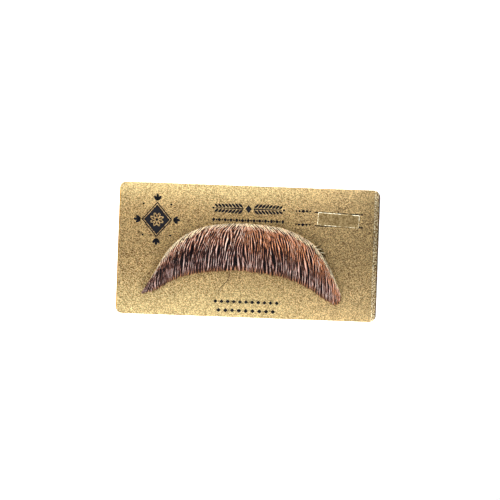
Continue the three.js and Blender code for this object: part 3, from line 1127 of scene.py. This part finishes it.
# How much each knot's pale and dark tuft differ, at the root and further down: partly painted light and
# shade.
root_contrast, pair_contrast, lock_ridge = 0.65, 0.25, 0.12
# How strong the painted highlight inside locks, the painted shade in their gaps and the painted dashes of
# light are, and how long the dashes run.
lock_light, gap_shade, dash_light, dash_length = 0.64, 1.0, 0.18, 4.5 * mm
lock_edge, lock_middle, golden_ratio = 2.2, 0.4, 0.618
pair_apart, loose_run, gather_start = 0.52, 2 * mm, 0.8 * mm
laid_width, laid_contrast = 1.6, 0.4
swirl_light = 0.3
struck_share, struck_light = 0.14, 0.5
root_zone, tip_zone = 2.6 * mm, 2.2 * mm
# Lighter and darker places along the moustache: partly the hair's own tone and partly painted shade, as in
# the left wing's lower half.
tone_and_shade_over_t = ([0, 0.06, 0.12, 0.25, 0.36, 0.44, 0.53, 0.63, 0.71, 0.8, 0.9, 1.0],
               [0.3, -0.02, -0.16, -0.19, -0.25, -0.07, 0.02, -0.2, -0.06, -0.14, 0.2, 0.5])
# Painted shade: a dark band along the middle of the fall, a little lighter at root and tip.
light_and_shade_over_fall = ([0, 0.3, 0.55, 0.85, 1], [0.06, 0.02, -0.16, 0.0, 0.05])
wing_over_fall = ([0, 0.3, 0.55, 0.85, 1], [0.1, 0.5, 1.1, 0.4, 0.3])


def lock_light_and_shade(angle, gone):
    """A painted highlight inside a lock and painted shade in the gaps, with painted dashes of light that
    step from lock to lock.
    """
    across = np.tanh(lock_edge * (np.cos(angle) - lock_middle))
    lock_number = np.round(angle / (2 * math.pi))
    dashes = np.sin(2 * math.pi * (gone / dash_length + golden_ratio * lock_number))
    return across * np.where(across < 0, gap_shade, lock_light) + dashes * dash_light


def along_share(gone):
    """A place on the map, from 0 at the root to 1 at the tip. The ends always take the same length."""
    length = gone[:, -1:]
    root, tip = np.clip(gone / root_zone, 0, 1), np.clip(1 - (length - gone) / tip_zone, 0, 1)
    return 0.004 + 0.992 * (0.12 * root + 0.78 * gone / length + 0.1 * tip)


def shorten(points, share):
    """Cuts strands back to a share of their length by sliding their points along them."""
    place = np.arange(points.shape[1]) * share
    low = np.minimum(place.astype(int), points.shape[1] - 2)[..., None]
    part = place[..., None] - low
    here, there = (np.take_along_axis(points, low + step, 1) for step in (0, 1))
    return here * (1 - part) + there * part


def make_tufts(name, start, shift, steps, strands, tone, lift, material, keep=(0, 1), pitch=knot_pitch,
               length=1.0, laid=False):
    """One row of tufts as one piece, or the part of it whose tips lie between two places t."""
    way_t, down, gone, risen, s = tuft_ways(start, shift, steps, pitch, length, laid)
    inside = (way_t[:, -1] >= keep[0]) & (way_t[:, -1] < keep[1])
    way_t, down, gone, risen = way_t[inside], down[inside], gone[inside], risen[inside]
    tufts = len(way_t)
    pale = np.where(np.arange(tufts) % 2, 0.5, -0.5)[:, None]
    freely = np.minimum(gone / loose_run, 1)
    sway = pair_apart * pitch * pale + spread((tufts, 1), 0.3 * mm) * np.sin(math.pi * s) * freely
    sway += spread((tufts, 1), 0.6 * mm) * s * freely + wave(tufts, s, 0.15 * mm, 1.0, 3.0) * freely

    owner = np.repeat(np.arange(tufts), strands)
    total = len(owner)
    angle = chance.uniform(0, 2 * math.pi, (total, 1))
    reach = np.sqrt(chance.uniform(0, 1, (total, 1)))
    half_width = np.interp(gone, [0, 1.5 * mm, 5 * mm], [0.09 * mm, 0.15 * mm, 0.24 * mm])[owner]
    half_width = half_width * (laid_width if laid else 1)
    offset = reach * np.cos(angle) * half_width + wave(total, s, 0.05 * mm) * freely[owner]
    offset += np.clip(chance.standard_t(3, (total, 1)), -7, 7) * 0.13 * mm * s * freely[owner]
    thin = np.minimum(at("rise", way_t[:, -1]) * 1.4, 1)[owner, None]

    middle_share = np.interp(np.clip(way_t, 0, 1), fine_t, middle_run / middle_length)
    share = middle_share[owner] + (sway[owner] + offset) * np.sqrt(thin) / middle_length
    lock_angle = lock_place(share, down[owner])
    gathered = np.clip((gone[owner] - gather_start) / lock_start, 0, 1)
    share = share - lock_pull * gathered * np.sin(lock_angle) * lock_pitch / (2 * math.pi * middle_length)
    strand_t = even_place(np.clip(share, 0.002, 0.998))

    points = np.empty((total, steps, 3))
    points[..., :2] = on_flow(strand_t, down[owner])
    points[..., 0] += swirl(points)
    tuft_lift = lift + spread((tufts, 1), 0.06) + wave(tufts, s, 0.06, 1.0, 3.2)
    strand_lift = tuft_lift[owner] + lock_ridge * np.cos(lock_angle) * gathered
    spring = 1 - np.exp(-risen / root_spring)
    depth = hair_depth * at("rise", way_t) * arch(down) * spring
    raised = reach * np.sin(angle) * half_width * np.interp(s, [0, 0.15, 0.8, 1], [0.5, 1.3, 1.3, 0.5])
    points[..., 2] = floor_height(down)[owner] + depth[owner] * np.clip(strand_lift, 0.3, 1.05)
    points[..., 2] += raised * thin + (tip_clearance if laid else 0)
    points[..., 2] = np.clip(points[..., 2], card_face + 1.2 * strand_radius, hair_high.z - strand_radius)
    trim = 1 - np.abs(spread((total, 1), 0.35 * mm)) / fall_length(way_t[:, -1])[owner, None]
    points = shorten(points, trim)

    taper = np.interp(s, [0, 0.75, 1], [1, 0.85, 0.35])
    thick = strand_radius * chance.uniform(0.75, 1.15, (total, 1)) * taper
    strand_points, strand_faces = tubes(points, thick, 3)
    piece = make_piece(name, strand_points, strand_faces, material, "hair")

    # Each knot's pale and dark tuft differ most at the root: partly the hair's own tone and partly painted
    # light on lit tufts and painted shade in the gaps between them.
    contrast = pair_contrast + (root_contrast - pair_contrast) * np.exp(-gone / loose_run)
    contrast = contrast + laid_contrast * laid
    # Tone by place along the moustache, partly painted shade.
    place_tone_and_shade = np.interp(way_t, *tone_and_shade_over_t) * np.interp(down, *wing_over_fall)
    tuft_tone = tone + place_tone_and_shade + np.interp(down, *light_and_shade_over_fall) + pale * contrast
    tuft_tone += spread((tufts, 1), 0.13) + wave(tufts, s, 0.12, 2.0, 5.0)
    struck = chance.uniform(0, 1, (tufts, 1)) < struck_share
    tuft_tone += struck_light * struck * np.clip(2 * down - 0.4, 0, 1)
    strand_tone = tuft_tone[owner] + spread((total, 1), 0.08)
    # Painted light inside each lock and painted shade in the gaps between locks.
    strand_tone = strand_tone + lock_light_and_shade(lock_angle, gone[owner]) * gathered
    strand_tone += swirl_light * swirl(points) / swirl_reach
    tone_map = np.clip(strand_tone, 0.02, 0.98)[..., None] + np.array([0, -0.004, 0.004])
    along_map = np.broadcast_to(along_share(gone)[owner, :, None], tone_map.shape)
    lay_map(piece, np.stack([tone_map, along_map], axis=-1).reshape(-1, 2))


# %% Rows of tufts
row_pitch = 1.05 * mm
wing_end = 0.88
sides = (("left", (0, parting), left_hair), ("right", (parting, wing_end), right_hair),
         ("wing", (wing_end, 1), wing_hair))
# Each row down is a little darker: painted shade of the rows above it.
for row, (shift, tone, lift) in enumerate(((0.0, 0.5, 0.97), (0.5, 0.46, 0.93), (0.0, 0.42, 0.9))):
    for side, part, material in sides:
        start = rim_start + row * row_pitch
        make_tufts(f"hair_row_{row + 1}_{side}", start, shift, 12, 9, tone, lift, material, keep=part)

# %% Tufts below the rim
under_rows, under_start, under_row_pitch = 5, 2.8 * mm, 2.4 * mm
# The rows below the rim take a darker tone still: painted shade of the hair over them.
under_tone, under_lift, under_sink = 0.34, 0.88, 0.05
for row in range(under_rows):
    start, lift = under_start + row * under_row_pitch, under_lift - under_sink * row
    make_tufts(f"hair_under_{row + 1}", start, 0.5 * (row % 2), 8, 7, under_tone, lift, lower_hair)

# %% [markdown]
# ## Ticks of light along the rim
# At the rim the short ends that the knots leave stand on top of the rest, painted nearly white: a painted
# highlight where they rise into the light. Up to five rows of them make the pale, dotted rim that the
# moustache shows: most at the wings' ends, and tan ones between them. The table gives each part's row, its
# place from wing to wing and its finish.

# %% Short ends at the rim
tick_pitch, tick_row_pitch, tick_length = 1.5 * mm, 1.1 * mm, 1.8 * mm
tick_rows = [
    (0, (0, 1), rim_ticks),
    (1, (0.08, 0.36), rim_ticks), (1, (0.36, 0.6), rim_tan), (1, (0.6, 1), rim_ticks),
    (2, (0.14, 0.34), rim_ticks), (2, (0.34, 0.72), rim_tan), (2, (0.72, 1), rim_ticks),
    (3, (0.18, 0.3), rim_tan), (3, (0.8, 1), rim_ticks), (4, (0.84, 1), rim_ticks),
]
tick_tone, tick_lift = 0.62, 1.02
for number, (row, part, material) in enumerate(tick_rows):
    start = rim_start + row * tick_row_pitch
    make_tufts(f"rim_ends_{number + 1}", start, 0.0, 4, 7, tick_tone, tick_lift, material,
               keep=part, pitch=tick_pitch, length=tick_length, laid=True)

# %% [markdown]
# ## Stray hairs
# A few hairs have come loose. A long one hangs from the lower edge on to the card, fifteen stand out of
# the right wing's rim, and a clipping lies on the card. Each is a cubic curve through four points.

# %% Loose ends
stray_steps = 14
stray_points = [
    [(-9.3, -11.0, 2.6), (-11.2, -16.8, 1.1), (-14.0, -19.6, 1.0), (-14.4, -24.6, 0.96)],
    [(52.3, -5.0, 0.98), (52.6, -5.2, 1.05), (52.7, -5.6, 1.05), (52.5, -5.9, 0.98)],
]
stray_tones = [0.3, 0.1]
dark_stray, pale_stray, pale_every = 0.02, 0.9, 5
rim_strays, first_stray, stray_pitch = 15, 35.4, 0.34
right_rim = on_flow(fine_t, np.zeros(600)) / mm
for number in range(rim_strays):
    rim_x = first_stray + stray_pitch * number + spread(1, 0.12)[0]
    rim_y = np.interp(rim_x, right_rim[:, 0], right_rim[:, 1]) - 0.4
    out, rise = 2.4 + spread(1, 0.5)[0], 0.9 - 0.1 * number + spread(1, 0.35)[0]
    ways = ((0, 0, 2.6), (0.35, 0.1, 3.0), (0.75, 0.5, 2.6), (1, 1.2, 1.9))
    stray_points.append([(rim_x + across * out, rim_y + up * rise, height) for across, up, height in ways])
    stray_tones.append(dark_stray if number % pale_every else pale_stray)
stray_share, knot_share = (np.vander(np.linspace(0, 1, count), 4) for count in (stray_steps, 4))
stray_curve = stray_share @ np.linalg.inv(knot_share)
stray_paths = np.einsum("sk,nkc->nsc", stray_curve, np.array(stray_points) * mm)
stray_thick = np.interp(np.linspace(0, 1, stray_steps), [0, 0.7, 1], [0.14 * mm, 0.13 * mm, 0.08 * mm])
stray_mesh = tubes(stray_paths, np.broadcast_to(stray_thick, stray_paths.shape[:2]), 5)
stray_hairs = make_piece("stray_hairs", *stray_mesh, rim_ticks, "hair")
stray_map = np.empty((len(stray_points), stray_steps, 5, 2))
stray_map[..., 0] = np.array(stray_tones)[:, None, None] + np.linspace(-0.004, 0.004, 5)
stray_map[..., 1] = np.linspace(0.2, 0.95, stray_steps)[:, None]
lay_map(stray_hairs, stray_map.reshape(-1, 2))
